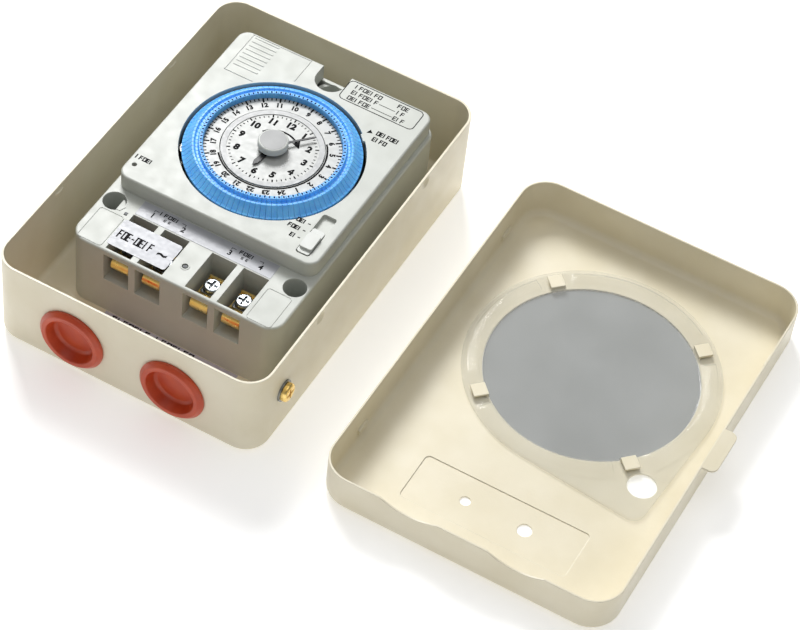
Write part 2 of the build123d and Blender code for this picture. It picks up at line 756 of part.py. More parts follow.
# ================================================================ dial, turning once a day
web_top = face_top - dial_ring_depth + dial_skin
web_bottom = web_top - dial_skin
hub_bore = tube_outer + running_fit
bridge_top = bridge_bottom + plate_thickness
hub_bottom = bridge_top + 0.4
dial_gear_top = hub_bottom + 2.0
carrier_bottom = pin_base - carrier_thickness
pin_arc = 360 / pin_count - pin_gap_angle
minute_pitch = train_distance * minute_teeth / (minute_teeth + wheel_teeth)
wheel_pitch = train_distance * wheel_teeth / (minute_teeth + wheel_teeth)
hour_pinion_pitch = train_distance * hour_pinion_teeth / (hour_pinion_teeth + hour_teeth)
hour_pitch = train_distance * hour_teeth / (hour_pinion_teeth + hour_teeth)
dial_pinion_pitch = train_distance * dial_pinion_teeth / (dial_pinion_teeth + dial_teeth)
dial_pitch = train_distance * dial_teeth / (dial_pinion_teeth + dial_teeth)
wheel_x = module_x + train_distance * cos(radians(train_direction))
wheel_y = dial_y + train_distance * sin(radians(train_direction))
motor_pitch = wheel_pitch * motor_teeth / wheel_teeth
motor_distance = wheel_pitch + motor_pitch
motor_x = wheel_x + motor_distance * cos(radians(motor_direction))
motor_y = wheel_y + motor_distance * sin(radians(motor_direction))
wheel_plane = Plane(origin=(wheel_x, wheel_y, 0))
motor_plane = Plane(origin=(motor_x, motor_y, 0))
wheel_phase = meshed_phase(minute_teeth, 0, train_direction, wheel_teeth)
motor_phase = meshed_phase(wheel_teeth, wheel_phase, motor_direction, motor_teeth)
hour_phase = meshed_phase(hour_pinion_teeth, 0, train_direction - 180, hour_teeth)
dial_phase = meshed_phase(dial_pinion_teeth, 0, train_direction - 180, dial_teeth)

with BuildPart() as dial_plate:
    with BuildSketch(dial_plane.offset(web_bottom)):
        Circle(ring_inner)
    extrude(amount=dial_skin)
    with BuildSketch(dial_plane.offset(web_top)):
        Circle(ring_inner)
        Circle(dial_inner, mode=Mode.SUBTRACT)
    extrude(amount=face_top - web_top)
    with BuildSketch(dial_plane.offset(carrier_bottom)):
        Circle(ring_inner)
        Circle(ring_inner - dial_skin, mode=Mode.SUBTRACT)
    extrude(amount=web_bottom - carrier_bottom)
    with BuildSketch(dial_plane.offset(dial_gear_top)):
        Circle(hub_radius)
    extrude(amount=web_bottom - dial_gear_top)
    with BuildSketch(dial_plane.offset(hub_bottom)):
        Polygon(*gear_outline(dial_teeth, dial_pitch, dial_phase), align=None)
    extrude(amount=dial_gear_top - hub_bottom)
    with BuildSketch(dial_plane.offset(hub_bottom)):
        Circle(hub_bore)
    extrude(amount=face_top, mode=Mode.SUBTRACT)
dial_plate.part.label = "dial_plate_24h"
export_step(dial_plate.part, "parts/dial_plate_24h.step")

with BuildPart() as pin_carrier:
    with BuildSketch(dial_plane.offset(carrier_bottom)):
        Circle(carrier_outer)
        Circle(ring_inner, mode=Mode.SUBTRACT)
    extrude(amount=carrier_thickness)
pin_carrier.part.label = "tripper_carrier"
export_step(pin_carrier.part, "parts/tripper_carrier.step")


def tripper_pin(clearance):
    """One switching pin of the blue ring, about the Z axis: raised inner land, groove, crest, slope and flange."""
    with BuildPart() as pin:
        with BuildSketch(Plane.XZ):
            with BuildLine():
                Polyline(
                    (ring_inner + clearance, pin_base + clearance),
                    (ring_inner + clearance, land_top - 0.2),
                    (ring_inner + clearance + 0.2, land_top),
                    (land_outer, land_top),
                    (land_outer + 0.4, crest_top - groove_drop),
                    (crest_radius - 0.9, crest_top - groove_drop),
                    (crest_radius - 0.3, crest_top),
                    (crest_radius + 0.5, crest_top - 0.1),
                    (flange_inner, pin_base + 1.3),
                    (ring_outer, pin_base + 0.9),
                    (ring_outer, pin_base + clearance),
                    close=True,
                )
            make_face()
        revolve(axis=Axis.Z, revolution_arc=pin_arc)
    return pin.part


def pin_place(count):
    """Place of a pin on the dial, counted anticlockwise from +X."""
    return Location((module_x, dial_y, 0), (0, 0, 360 / pin_count * count))


sample_count = round(pin_sample / 360 * pin_count)
plain_pin = tripper_pin(0)
with BuildPart() as tripper_pins:
    with Locations(*[pin_place(count) for count in range(pin_count) if count != sample_count]):
        add(plain_pin)
tripper_pins.part.label = "tripper_pins"
export_step(tripper_pins.part, "parts/tripper_pins.step")

lifted_pin = tripper_pin(pin_lift)
with BuildPart() as sample_pin:
    with Locations(pin_place(sample_count)):
        add(lifted_pin)
sample_pin.part.label = "tripper_pin_sample"
export_step(sample_pin.part, "parts/tripper_pin_sample.step")

# ---------------------------------------------------------------- fixed clock face
with BuildPart() as clock_face:
    with BuildSketch(dial_plane.offset(face_top - dial_skin)):
        Circle(face_radius)
        Circle(pipe_outer + running_fit, mode=Mode.SUBTRACT)
    extrude(amount=dial_skin)
clock_face.part.label = "clock_face"
export_step(clock_face.part, "parts/clock_face.step")

with BuildPart() as face_bezel:
    with BuildSketch(dial_plane.offset(face_top)):
        Circle(face_radius)
        Circle(bezel_inner, mode=Mode.SUBTRACT)
    extrude(amount=bezel_height)
face_bezel.part.label = "face_bezel"
export_step(face_bezel.part, "parts/face_bezel.step")

# ---------------------------------------------------------------- plates
plate_middle = module_x + (plate_left + plate_right) / 2
plate_width = plate_right - plate_left
lower_plate_top = lower_plate_bottom + plate_thickness
pivot_radius = 0.9
motor_arbor = 0.6

with BuildPart() as bridge_plate:
    with BuildSketch(Plane(origin=(plate_middle, dial_y, bridge_bottom))):
        RectangleRounded(plate_width, 2 * plate_half_length, plate_corner)
    extrude(amount=plate_thickness)
    with BuildSketch(dial_plane.offset(bridge_top)):
        Circle(tube_outer)
    extrude(amount=face_top - dial_skin - bridge_top)
    with BuildSketch(dial_plane.offset(bridge_bottom)):
        Circle(pipe_outer + running_fit)
    extrude(amount=face_top, mode=Mode.SUBTRACT)
    with BuildSketch(wheel_plane.offset(bridge_bottom)):
        Circle(pivot_radius + running_fit)
    extrude(amount=face_top, mode=Mode.SUBTRACT)
bridge_plate.part.label = "bridge_plate"
export_step(bridge_plate.part, "parts/bridge_plate.step")

with BuildPart() as lower_plate:
    with BuildSketch(Plane(origin=(plate_middle, dial_y, lower_plate_bottom))):
        RectangleRounded(plate_width, 2 * plate_half_length, plate_corner)
    extrude(amount=plate_thickness)
    with BuildSketch(dial_plane.offset(lower_plate_bottom)):
        Circle(arbor_radius + running_fit)
    extrude(amount=plate_thickness, mode=Mode.SUBTRACT)
    with BuildSketch(wheel_plane.offset(lower_plate_bottom)):
        Circle(pivot_radius + running_fit)
    extrude(amount=plate_thickness, mode=Mode.SUBTRACT)
    with BuildSketch(motor_plane.offset(lower_plate_bottom)):
        Circle(motor_arbor + 0.6)
    extrude(amount=plate_thickness, mode=Mode.SUBTRACT)
lower_plate.part.label = "lower_plate"
export_step(lower_plate.part, "parts/lower_plate.step")

with BuildPart() as plate_pillars:
    with BuildSketch(Plane.XY.offset(lower_plate_top)):
        with Locations(*post_spots):
            Circle(post_radius)
    extrude(amount=bridge_bottom - lower_plate_top)
plate_pillars.part.label = "plate_pillars"
export_step(plate_pillars.part, "parts/plate_pillars.step")

with BuildPart() as plate_screws:
    with BuildSketch(Plane.XY.offset(bridge_top)):
        with Locations(*post_spots):
            Circle(post_radius * 0.9)
    extrude(amount=1.1)
plate_screws.part.label = "plate_screws"
export_step(plate_screws.part, "parts/plate_screws.step")

# ---------------------------------------------------------------- hands and their wheels
minute_pinion_bottom = 31.4
wheel_bottom = 31.6
hour_gear_bottom = 34.6
hour_hand_bottom = face_top + 0.55
minute_hand_bottom = hour_hand_bottom + hand_thickness + 0.55
knob_bottom = minute_hand_bottom + hand_thickness


def hand_outline(length, root, tip, hub):
    """Sketch objects of one hand that points along local +X from its hub."""
    Circle(hub)
    Polygon((0, -root / 2), (length - tip, -tip / 2), (length, 0), (length - tip, tip / 2), (0, root / 2), align=None)


with BuildPart() as minute_arbor:
    with BuildSketch(dial_plane.offset(lower_plate_bottom - 1)):
        Circle(arbor_radius)
    extrude(amount=knob_bottom + 1.6 - lower_plate_bottom + 1)
    with BuildSketch(dial_plane.offset(minute_pinion_bottom)):
        Polygon(*gear_outline(minute_teeth, minute_pitch, 0), align=None)
    extrude(amount=2.0)
minute_arbor.part.label = "minute_arbor"
export_step(minute_arbor.part, "parts/minute_arbor.step")

minute_turn = Plane(origin=(module_x, dial_y, minute_hand_bottom)).rotated((0, 0, 90 - minute_hand_angle))
with BuildPart() as minute_hand:
    with BuildSketch(minute_turn):
        hand_outline(minute_hand_length, 1.1, 0.9, 3.4)
        Circle(arbor_radius, mode=Mode.SUBTRACT)
    extrude(amount=hand_thickness)
minute_hand.part.label = "minute_hand"
export_step(minute_hand.part, "parts/minute_hand.step")

with BuildPart() as setting_knob:
    with BuildSketch(dial_plane.offset(knob_bottom)):
        Circle(knob_radius)
    extrude(amount=knob_top - knob_bottom)
    chamfer(setting_knob.faces().sort_by(Axis.Z)[-1].edges(), 0.45)
    with BuildSketch(dial_plane.offset(knob_bottom)):
        Circle(arbor_radius)
    extrude(amount=1.6, mode=Mode.SUBTRACT)
setting_knob.part.label = "setting_knob"
export_step(setting_knob.part, "parts/setting_knob.step")

with BuildPart() as hour_wheel:
    with BuildSketch(dial_plane.offset(hour_gear_bottom)):
        Polygon(*gear_outline(hour_teeth, hour_pitch, hour_phase), align=None)
    extrude(amount=1.6)
    with BuildSketch(dial_plane.offset(hour_gear_bottom)):
        Circle(pipe_outer)
    extrude(amount=hour_hand_bottom + hand_thickness - hour_gear_bottom)
    with BuildSketch(dial_plane.offset(hour_gear_bottom)):
        Circle(arbor_radius + running_fit)
    extrude(amount=face_top, mode=Mode.SUBTRACT)
hour_wheel.part.label = "hour_wheel"
export_step(hour_wheel.part, "parts/hour_wheel.step")

hour_turn = Plane(origin=(module_x, dial_y, hour_hand_bottom)).rotated((0, 0, 90 - hour_hand_angle))
with BuildPart() as hour_hand:
    with BuildSketch(hour_turn):
        hand_outline(hour_hand_length, 2.4, 2.2, 4.8)
        Circle(pipe_outer, mode=Mode.SUBTRACT)
    extrude(amount=hand_thickness)
hour_hand.part.label = "hour_hand"
export_step(hour_hand.part, "parts/hour_hand.step")

with BuildPart() as train_wheel:
    with BuildSketch(wheel_plane.offset(lower_plate_bottom - 0.6)):
        Circle(pivot_radius)
    extrude(amount=dial_gear_top + 0.6 - lower_plate_bottom + 0.6)
    with BuildSketch(wheel_plane.offset(wheel_bottom)):
        Polygon(*gear_outline(wheel_teeth, wheel_pitch, wheel_phase), align=None)
    extrude(amount=1.5)
    with BuildSketch(wheel_plane.offset(hour_gear_bottom - 0.1)):
        Polygon(*gear_outline(hour_pinion_teeth, hour_pinion_pitch, 0), align=None)
    extrude(amount=1.8)
    with BuildSketch(wheel_plane.offset(hub_bottom + 0.2)):
        Polygon(*gear_outline(dial_pinion_teeth, dial_pinion_pitch, 0), align=None)
    extrude(amount=1.8)
train_wheel.part.label = "train_wheel"
export_step(train_wheel.part, "parts/train_wheel.step")

motor_top = lower_plate_bottom
motor_well = 4.0
with BuildPart() as motor_body:
    with BuildSketch(motor_plane.offset(motor_top)):
        Circle(motor_radius)
    extrude(amount=-motor_height)
    with BuildSketch(motor_plane.offset(motor_top)):
        Circle(motor_arbor + running_fit)
    extrude(amount=-motor_well, mode=Mode.SUBTRACT)
motor_body.part.label = "motor_body"
export_step(motor_body.part, "parts/motor_body.step")

with BuildPart() as motor_pinion:
    with BuildSketch(motor_plane.offset(motor_top - motor_well + 0.5)):
        Circle(motor_arbor)
    extrude(amount=wheel_bottom + 1.8 - motor_top + motor_well - 0.5)
    with BuildSketch(motor_plane.offset(wheel_bottom - 0.1)):
        Polygon(*gear_outline(motor_teeth, motor_pitch, motor_phase), align=None)
    extrude(amount=1.8)
motor_pinion.part.label = "motor_pinion"
export_step(motor_pinion.part, "parts/motor_pinion.step")

# ================================================================ selector switch
selector_bottom = cover_top - slot_depth + selector_fit
frame_top = pad_bottom
frame_plane = Plane(origin=(selector_x, stem_y + selector_travel / 2, frame_top))

with BuildPart() as selector_slider:
    with BuildSketch(Plane(origin=(selector_x, slider_y, selector_bottom))):
        RectangleRounded(slot_width - 2 * selector_fit, selector_length, 1)
    extrude(amount=cover_top + 0.3 - selector_bottom)
    with BuildSketch(Plane(origin=(selector_x, slider_y - 0.6, cover_top + 0.3))):
        RectangleRounded(slot_width - 2 * selector_fit, selector_length * 0.62, 1)
    extrude(amount=1.1)
    with BuildSketch(Plane(origin=(selector_x, stem_y, selector_bottom))):
        Rectangle(stem_width, stem_length)
    extrude(amount=-(selector_bottom - frame_top + 4.0))
selector_slider.part.label = "selector_slider"
export_step(selector_slider.part, "parts/selector_slider.step")

with BuildPart() as selector_frame:
    with BuildSketch(frame_plane):
        Rectangle(slot_width + 2.0, stem_slot + 3)
    extrude(amount=-frame_height)
    with BuildSketch(frame_plane):
        Rectangle(stem_width + 2 * selector_fit, stem_slot)
    extrude(amount=-(4.0 + 0.6), mode=Mode.SUBTRACT)
selector_frame.part.label = "selector_frame"
export_step(selector_frame.part, "parts/selector_frame.step")

# ================================================================ trip switch
lever_x = module_x + lever_radius
bracket_top = lower_plate_bottom
bracket_near = plunger_y - trip_body[1] / 2 - 1
bracket_far = lever_pivot_y + 4
bracket_left = lever_x - 4
bracket_right = module_x + cavity_width / 2 - module_clearance
lever_pin_radius = 1.0
trip_left = lever_x + lever_thickness / 2 + plunger_gap + 1.5
trip_middle = trip_left + trip_body[0] / 2

with BuildPart() as switch_bracket:
    bracket_middle = ((bracket_left + bracket_right) / 2, (bracket_near + bracket_far) / 2)
    with BuildSketch(Plane.XY.offset(bracket_top - plate_thickness)):
        with Locations(bracket_middle):
            Rectangle(bracket_right - bracket_left, bracket_far - bracket_near)
    extrude(amount=plate_thickness)
    for leg_y in (bracket_near + 1, bracket_far - 1):
        with BuildSketch(Plane.XY.offset(base_top)):
            with Locations((bracket_middle[0], leg_y)):
                Rectangle(bracket_right - bracket_left, 2)
        extrude(amount=bracket_top - plate_thickness - base_top)
switch_bracket.part.label = "switch_bracket"
export_step(switch_bracket.part, "parts/switch_bracket.step")

with BuildPart() as lever_pin:
    with BuildSketch(Plane(origin=(lever_x, lever_pivot_y, bracket_top))):
        Circle(lever_pin_radius)
    extrude(amount=lever_bottom + lever_thickness + 0.8 - bracket_top)
    with BuildSketch(Plane(origin=(lever_x, lever_pivot_y, bracket_top))):
        Circle(lever_pin_radius * 2.2)
    extrude(amount=lever_bottom - 0.3 - bracket_top)
lever_pin.part.label = "lever_pin"
export_step(lever_pin.part, "parts/lever_pin.step")

with BuildPart() as trip_lever:
    bar_length = lever_pivot_y - dial_y + 1.2
    with BuildSketch(Plane(origin=(lever_x, lever_pivot_y, lever_bottom))):
        with Locations((0, -bar_length / 2)):
            Rectangle(lever_thickness, bar_length)
        Circle(lever_pin_radius * 2.2)
        Circle(lever_pin_radius + running_fit, mode=Mode.SUBTRACT)
    extrude(amount=lever_thickness)
    with BuildSketch(Plane(origin=(lever_x, dial_y, lever_bottom))):
        Rectangle(0.8, 2.4)
    extrude(amount=nose_top - lever_bottom)
trip_lever.part.label = "trip_lever"
export_step(trip_lever.part, "parts/trip_lever.step")

plunger_z = lever_bottom + lever_thickness / 2
plunger_face = Plane(origin=(lever_x + lever_thickness / 2 + plunger_gap, plunger_y, plunger_z), z_dir=(1, 0, 0))
plunger_length = 4.4
with BuildPart() as switch_body:
    with BuildSketch(Plane(origin=(trip_middle, plunger_y, bracket_top))):
        Rectangle(trip_body[0], trip_body[1])
    extrude(amount=trip_body[2] + 0.9)
    with BuildSketch(plunger_face):
        Circle(plunger_radius + running_fit)
    extrude(amount=plunger_length + 1.4, mode=Mode.SUBTRACT)
switch_body.part.label = "trip_switch_body"
export_step(switch_body.part, "parts/trip_switch_body.step")

with BuildPart() as switch_plunger:
    with BuildSketch(plunger_face):
        Circle(plunger_radius)
    extrude(amount=plunger_length)
switch_plunger.part.label = "trip_switch_plunger"
export_step(switch_plunger.part, "parts/trip_switch_plunger.step")

# ================================================================ electronics
board_bottom = board_top - board_thickness
board_width = 72.0
board_length = 18.0
board_x = module_x - 7.0
board_y = -11.3
with BuildPart() as circuit_board:
    with BuildSketch(Plane(origin=(board_x, board_y, board_bottom))):
        Rectangle(board_width, board_length)
    extrude(amount=board_thickness)
circuit_board.part.label = "circuit_board"
export_step(circuit_board.part, "parts/circuit_board.step")

lamp_dome = cover_under - 0.4
with BuildPart() as power_lamp:
    with BuildSketch(Plane(origin=(lamp_x, lamp_y, board_top))):
        Circle(lamp_radius)
    extrude(amount=lamp_dome - lamp_radius - board_top)
    with Locations((lamp_x, lamp_y, lamp_dome - lamp_radius)):
        Sphere(lamp_radius)
power_lamp.part.label = "power_lamp"
export_step(power_lamp.part, "parts/power_lamp.step")

capacitor_radius = 2.8
capacitor_length = 12.0
with BuildPart() as capacitor:
    capacitor_end = Plane(origin=(board_x - 14, board_y, board_top + capacitor_radius), z_dir=(1, 0, 0))
    with BuildSketch(capacitor_end):
        Circle(capacitor_radius)
    extrude(amount=capacitor_length)
capacitor.part.label = "capacitor"
export_step(capacitor.part, "parts/capacitor.step")

battery_radius = 7.8
battery_height = 7.0
with BuildPart() as backup_battery:
    with BuildSketch(Plane(origin=(board_x + 6, board_y, board_bottom))):
        Circle(battery_radius)
    extrude(amount=-battery_height)
backup_battery.part.label = "backup_battery"
export_step(backup_battery.part, "parts/backup_battery.step")
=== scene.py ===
"""Looks of the programmable timer.

Materials, rounded edges, printed marks, light and camera around the CAD frame.
"""

import json
from math import cos, pi, radians, sin, sqrt

import bmesh
import bpy
from mathutils import Matrix, Vector


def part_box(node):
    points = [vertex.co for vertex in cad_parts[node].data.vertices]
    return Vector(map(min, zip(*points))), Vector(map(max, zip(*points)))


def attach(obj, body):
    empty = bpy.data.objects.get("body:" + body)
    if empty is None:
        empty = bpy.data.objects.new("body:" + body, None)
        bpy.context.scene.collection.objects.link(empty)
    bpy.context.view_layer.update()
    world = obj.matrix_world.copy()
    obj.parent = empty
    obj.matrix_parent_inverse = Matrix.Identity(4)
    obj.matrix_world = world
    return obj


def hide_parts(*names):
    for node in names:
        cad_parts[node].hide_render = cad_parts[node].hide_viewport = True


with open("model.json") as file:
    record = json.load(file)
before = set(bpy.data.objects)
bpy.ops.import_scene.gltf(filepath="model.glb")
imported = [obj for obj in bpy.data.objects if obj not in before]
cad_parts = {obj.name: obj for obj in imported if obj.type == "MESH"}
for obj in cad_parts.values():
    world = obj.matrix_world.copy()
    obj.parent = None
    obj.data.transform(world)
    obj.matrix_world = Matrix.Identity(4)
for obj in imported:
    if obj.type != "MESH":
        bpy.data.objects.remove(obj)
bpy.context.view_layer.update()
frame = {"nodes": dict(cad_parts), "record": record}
nodes = frame["nodes"]
MM = 0.001


def top_of(node):
    """Height of a CAD node's top, in millimetres."""
    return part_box(node)[1].z / MM


# ---------------------------------------------------------------- places and sizes, in millimetres
dial_low, dial_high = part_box("dial_plate_24h")
DIAL_X = (dial_low.x + dial_high.x) / 2 / MM
DIAL_Y = (dial_low.y + dial_high.y) / 2 / MM
DIAL_CENTRE = (DIAL_X, DIAL_Y)
FACE_TOP = dial_high.z / MM
COVER_TOP = top_of("upper_cover")
BLOCK_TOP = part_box("marking_strip")[0].z / MM
PRINT = 0.03
FLOOR_DROP = 0.2
PANE_LIFT = 0.04
PANE_UNDERSIDE = 0.4
SHARP_ANGLE = 28
SMOOTH_ANGLE = 35
LETTER_SHARE = 0.68
FONT_SHARE = 1.38

# ---------------------------------------------------------------- camera, in metres and degrees
CAMERA_PLACE = (0.36633, -0.66588, 0.87067)
CAMERA_AIM = (0.07537, -0.00867, 0.02)
CAMERA_ROLL = 7.0
CAMERA_LENS = 130.0
CAMERA_SHIFT = (0.0042, -0.0023)

# Sockets of the colour Mix node, which share their names with its other kinds
MIX_FIRST = 6
MIX_SECOND = 7
MIX_RESULT = 2
# Cosine between the rounded and the true normal where the painted edge highlight starts and where it is full
EDGE_START = 0.995
EDGE_FULL = 0.88


def linear(red, green, blue):
    """Scene-linear colour from an sRGB colour of 0 to 255."""
    out = []
    for value in (red, green, blue):
        c = value / 255
        out.append(c / 12.92 if c <= 0.04045 else ((c + 0.055) / 1.055) ** 2.4)
    return (*out, 1.0)


# ================================================================ materials
class Finish:
    """A procedural material.

    Two close tints mixed by noise, with uneven gloss, fine grain relief and a painted highlight on edges.
    """

    def __init__(self, name, tint, roughness=0.45, metallic=0.0):
        self.material = bpy.data.materials.new(name)
        self.material.use_nodes = True
        self.tree = self.material.node_tree
        self.shader = self.tree.nodes["Principled BSDF"]
        self.shader.inputs["Roughness"].default_value = roughness
        self.shader.inputs["Metallic"].default_value = metallic
        self.shader.inputs["Base Color"].default_value = tint
        self.coordinates = self.node("ShaderNodeTexCoord").outputs["Object"]
        self.color = None
        self.normal = None

    def node(self, kind, **values):
        made = self.tree.nodes.new(kind)
        for key, value in values.items():
            setattr(made, key, value)
        return made

    def link(self, start, end):
        self.tree.links.new(start, end)

    def set(self, **values):
        """Sets shader inputs; an underscore stands for a space in an input's name."""
        for key, value in values.items():
            self.shader.inputs[key.replace("_", " ")].default_value = value
        return self

    def noise(self, scale, detail=3.0, stretch=(1, 1, 1)):
        """Noise in object space; scale is in waves a metre."""
        mapping = self.node("ShaderNodeMapping")
        mapping.inputs["Scale"].default_value = stretch
        self.link(self.coordinates, mapping.inputs["Vector"])
        texture = self.node("ShaderNodeTexNoise")
        texture.inputs["Scale"].default_value = scale
        texture.inputs["Detail"].default_value = detail
        self.link(mapping.outputs["Vector"], texture.inputs["Vector"])
        return texture.outputs["Fac"]

    def ramp(self, factor, low, high, start=0.35, end=0.65):
        ramp = self.node("ShaderNodeValToRGB")
        ramp.color_ramp.elements[0].position = start
        ramp.color_ramp.elements[0].color = low
        ramp.color_ramp.elements[1].position = end
        ramp.color_ramp.elements[1].color = high
        self.link(factor, ramp.inputs["Fac"])
        return ramp.outputs["Color"]

    def tints(self, low, high, scale=60, detail=4.0, stretch=(1, 1, 1)):
        """Base colour that drifts between two tints."""
        self.color = self.ramp(self.noise(scale, detail, stretch), low, high)
        self.link(self.color, self.shader.inputs["Base Color"])
        return self

    def blend(self, mask, tint):
        """Base colour goes to a tint where the mask is 1."""
        mix = self.node("ShaderNodeMix", data_type="RGBA")
        self.link(mask, mix.inputs["Factor"])
        self.link(self.color, mix.inputs[MIX_FIRST])
        mix.inputs[MIX_SECOND].default_value = tint
        self.color = mix.outputs[MIX_RESULT]
        self.link(self.color, self.shader.inputs["Base Color"])
        return self

    # The lighter edge tint is a painted highlight along rounded edges
    def edges(self, tint, radius=0.0006, strength=0.5):
        """Painted highlight on edges: a lighter tint where a rounded normal leaves the true one."""
        bevel = self.node("ShaderNodeBevel", samples=4)
        bevel.inputs["Radius"].default_value = radius
        geometry = self.node("ShaderNodeNewGeometry")
        dot = self.node("ShaderNodeVectorMath", operation="DOT_PRODUCT")
        self.link(bevel.outputs["Normal"], dot.inputs[0])
        self.link(geometry.outputs["Normal"], dot.inputs[1])
        reach = self.node("ShaderNodeMapRange")
        reach.inputs["From Min"].default_value = EDGE_START
        reach.inputs["From Max"].default_value = EDGE_FULL
        reach.inputs["To Max"].default_value = strength
        self.link(dot.outputs["Value"], reach.inputs["Value"])
        return self.blend(reach.outputs["Result"], tint)

    def uneven_gloss(self, low, high, scale=90, detail=4.0, stretch=(1, 1, 1)):
        """Roughness that drifts between two values."""
        spread = self.node("ShaderNodeMapRange")
        spread.inputs["From Min"].default_value = 0.3
        spread.inputs["From Max"].default_value = 0.7
        spread.inputs["To Min"].default_value = low
        spread.inputs["To Max"].default_value = high
        self.link(self.noise(scale, detail, stretch), spread.inputs["Value"])
        self.link(spread.outputs["Result"], self.shader.inputs["Roughness"])
        return self

    def grain(self, scale, height, detail=2.0, stretch=(1, 1, 1), rounded=0.0):
        """Fine relief; height is in metres. rounded softens hard edges by that radius."""
        bump = self.node("ShaderNodeBump")
        bump.inputs["Strength"].default_value = 1.0
        bump.inputs["Distance"].default_value = height
        self.link(self.noise(scale, detail, stretch), bump.inputs["Height"])
        if rounded and self.normal is None:
            bevel = self.node("ShaderNodeBevel", samples=4)
            bevel.inputs["Radius"].default_value = rounded
            self.normal = bevel.outputs["Normal"]
        if self.normal is not None:
            self.link(self.normal, bump.inputs["Normal"])
        self.normal = bump.outputs["Normal"]
        self.link(self.normal, self.shader.inputs["Normal"])
        return self


def painted_steel(name):
    """Cream powder coat: faint mottling, orange peel and a painted highlight on edges."""
    finish = Finish(name, linear(214, 204, 174), 0.42)
    finish.tints(linear(226, 217, 190), linear(232, 224, 200), scale=45)
    # Lighter cream on rounded edges is a painted highlight
    finish.edges(linear(242, 237, 220), radius=0.0007, strength=0.6)
    finish.uneven_gloss(0.34, 0.5, scale=120)
    finish.grain(900, 0.00003, rounded=0.0005)
    finish.grain(5200, 0.000012)
    return finish.set(Coat_Weight=0.15, Coat_Roughness=0.3).material


def moulded(name, low, high, roughness=(0.36, 0.48), rounded=0.0003, relief=0.000012):
    """Injection-moulded plastic with a fine spark-eroded grain."""
    finish = Finish(name, low, roughness[0])
    finish.tints(low, high, scale=70)
    finish.uneven_gloss(*roughness, scale=160)
    finish.grain(4200, relief, rounded=rounded)
    return finish


def metal(name, low, high, roughness=(0.2, 0.38), brushed=(1, 1, 1), scale=400):
    """Bare or plated metal with drawn or tumbled marks."""
    finish = Finish(name, low, roughness[0], metallic=1.0)
    finish.tints(low, high, scale=180, stretch=brushed)
    finish.uneven_gloss(*roughness, scale=scale, stretch=brushed)
    finish.grain(scale * 4, 0.00001, stretch=brushed, rounded=0.00015)
    return finish.material


def blue_plastic(name):
    """Bright translucent blue of the switching pins."""
    finish = Finish(name, linear(96, 180, 252), 0.3)
    finish.tints(linear(92, 176, 250), linear(112, 192, 254), scale=220)
    # Paler blue on edges is a painted highlight
    finish.edges(linear(140, 206, 255), radius=0.0002, strength=0.3)
    finish.uneven_gloss(0.36, 0.48, scale=300)
    finish.grain(3500, 0.00001, rounded=0.00012)
    return finish.set(Subsurface_Weight=0.2, Subsurface_Scale=0.001).material


def grommet_rubber(name):
    """Red-brown rubber with a soft bloom."""
    finish = Finish(name, linear(186, 66, 30), 0.35)
    finish.tints(linear(184, 64, 28), linear(198, 78, 38), scale=130)
    finish.uneven_gloss(0.28, 0.42, scale=260)
    finish.grain(2600, 0.00002, rounded=0.0003)
    return finish.set(Subsurface_Weight=0.15, Subsurface_Scale=0.002).material


def clear_pane(name, low, high, alpha):
    """Clear sheet, or a grey sheet that paints shade seen through it; alpha is 1 where nothing shows through.
    """
    finish = Finish(name, low, 0.08)
    finish.tints(low, high, scale=30)
    finish.uneven_gloss(0.05, 0.12, scale=200)
    finish.grain(1200, 0.000004)
    return finish.set(Alpha=alpha, IOR=1.49).material


def printed_film(name, low, high):
    """Smooth printed plastic or paper."""
    finish = Finish(name, low, 0.35)
    finish.tints(low, high, scale=240)
    finish.uneven_gloss(0.28, 0.42, scale=500)
    finish.grain(6000, 0.000006)
    return finish.material


def ink(name, tint):
    """Matt ink with almost no gloss."""
    finish = Finish(name, tint, 0.55)
    lighter = tuple(min(1.0, c * 1.3 + 0.002) for c in tint[:3]) + (1.0,)
    finish.tints(tint, lighter, scale=1500)
    finish.uneven_gloss(0.5, 0.7, scale=900)
    return finish.set(Specular_IOR_Level=0.08).material


OFF_WHITE = linear(188, 191, 184)
OFF_WHITE_LIGHT = linear(193, 196, 189)
box_paint = painted_steel("box_paint")
housing_finish = moulded("housing_plastic", OFF_WHITE, OFF_WHITE_LIGHT)
# Lighter white on the housing's edges is a painted highlight
housing = housing_finish.edges(linear(214, 217, 213), 0.0004, 0.5).material
base_plastic = moulded("base_plastic", linear(205, 203, 192), linear(214, 212, 202)).material
blue = blue_plastic("pin_blue")
rubber = grommet_rubber("grommet_rubber")
pane_clear = clear_pane("window", linear(214, 214, 204), linear(222, 222, 214), 0.16)
# Grey, nearly opaque sheet on the pane's underside: painted shade of the floor beneath it
pane_painted_shade = clear_pane("window_painted_shade", linear(136, 140, 141), linear(146, 150, 151), 0.82)
brass = metal("brass", linear(250, 212, 126), linear(255, 226, 150), (0.24, 0.34))
zinc = metal("zinc_steel", linear(120, 124, 128), linear(156, 160, 162), (0.22, 0.36))
steel = metal("plate_steel", linear(170, 170, 166), linear(190, 190, 186), (0.3, 0.45), brushed=(1, 12, 1))
motor_steel = metal("motor_case", linear(160, 160, 156), linear(184, 184, 180), (0.25, 0.4))
dial_white = printed_film("dial_white", linear(176, 178, 175), linear(183, 185, 182))
paper = printed_film("label_paper", linear(164, 166, 172), linear(172, 174, 180))
grey_band = printed_film("bezel_grey", linear(160, 162, 162), linear(168, 170, 170))
knob_plastic = moulded("knob_white", linear(192, 195, 190), linear(198, 201, 196), (0.3, 0.4)).material
knob_grey = moulded("knob_cap_grey", linear(150, 151, 151), linear(158, 159, 159), (0.4, 0.5)).material
lilac_film = printed_film("floor_label_film", linear(186, 182, 196), linear(198, 194, 206))
dot_ink = ink("dot_ink", linear(4, 36, 80))
